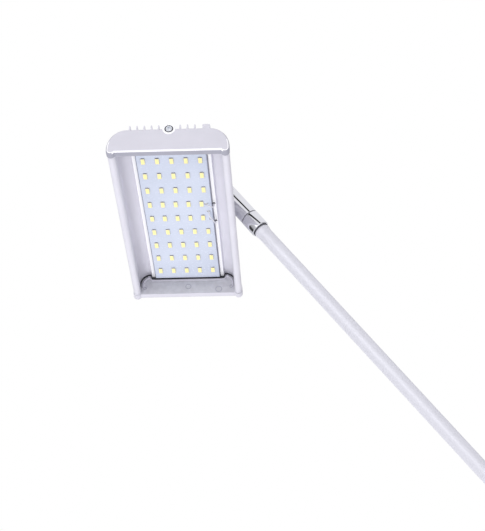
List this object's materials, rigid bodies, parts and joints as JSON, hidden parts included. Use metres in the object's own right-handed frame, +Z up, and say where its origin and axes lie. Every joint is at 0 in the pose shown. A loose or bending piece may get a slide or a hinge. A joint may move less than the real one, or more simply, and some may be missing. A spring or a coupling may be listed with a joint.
{
  "type": "LED arm lamp",
  "caption": "LED arm lamp: finned trough head with an LED board, on a tilting and swivelling chrome knuckle, straight arm tube and wall base.",
  "frame": {"origin": "middle of the base plate's mounting face", "axes": "+X is the mounting face's outward normal, into the wall or post; +Z is up; the arm climbs towards -X and the head's length lies along Y, with its LEDs shining along -Z"},
  "size_m": [0.3724, 0.2186, 0.3724],
  "materials": {
    "housing_paint": "satin powder coat",
    "cap_paint": "satin powder coat on a die casting",
    "base_paint": "satin powder coat",
    "satin_aluminium": "satin anodised",
    "chrome": "polished chrome plating",
    "steel": "zinc plated",
    "led_board": "white solder mask with yellow phosphor LEDs",
    "silicone_pad": "matte",
    "black_rubber": "matte",
    "black_nylon": "satin",
    "white_wire": "smooth insulation",
    "white_plastic": "moulded"
  },
  "bodies": {
    "base": {"base_plate": "base_paint", "base_housing": "base_paint", "cover_screw_1": "steel", "cover_screw_2": "steel", "cable_gland": "black_nylon", "terminal_block": "white_plastic"},
    "yoke": {"base_yoke": "chrome", "base_swivel_washer": "black_nylon", "base_swivel_nut": "steel", "base_pivot_bolt": "steel", "base_pivot_nut": "steel"},
    "arm": {"arm_foot": "chrome", "base_washer_front": "black_nylon", "base_washer_rear": "black_nylon", "tube_set_screw_lower": "steel", "arm_tube": "satin_aluminium", "power_cable": "black_rubber", "tube_seal_ring": "black_rubber", "tube_set_screw_upper": "steel", "knuckle_lower": "chrome", "swivel_friction_ring": "black_nylon"},
    "knuckle": {"knuckle_upper": "chrome", "swivel_retainer": "steel", "head_washer_front": "black_nylon", "head_washer_rear": "black_nylon"},
    "head": {"heat_sink_housing": "housing_paint", "end_cap_front": "cap_paint", "end_cap_rear": "cap_paint", "cap_gasket_front": "black_rubber", "cap_gasket_rear": "black_rubber", "cap_screw_front": "steel", "cap_screw_rear": "steel", "led_board": "led_board", "thermal_pad": "silicone_pad", "lead_wire_plus": "white_wire", "lead_wire_minus": "white_wire", "pivot_bracket": "housing_paint", "bracket_screw_1": "steel", "bracket_screw_2": "steel", "head_pivot_bolt": "steel", "head_pivot_nut": "steel"}
  },
  "joints": [
    {"name": "base_swivel", "type": "hinge", "parent": "base", "child": "yoke", "pos_m": [-0.026, 0, 0], "axis": [1, 0, 0], "range_deg": [-165, 165]},
    {"name": "base_tilt", "type": "hinge", "parent": "yoke", "child": "arm", "pos_m": [-0.046, 0, 0], "axis": [0, 1, 0], "range_deg": [-120, 35]},
    {"name": "knuckle_swivel", "type": "hinge", "parent": "arm", "child": "knuckle", "pos_m": [-0.26596, 0, 0.29403], "axis": [0.599, 0, -0.8007], "range_deg": [-170, 170]},
    {"name": "head_tilt", "type": "hinge", "parent": "knuckle", "child": "head", "pos_m": [-0.28861, 0, 0.3243], "axis": [0, 1, 0], "range_deg": [0, 150]}
  ]
}
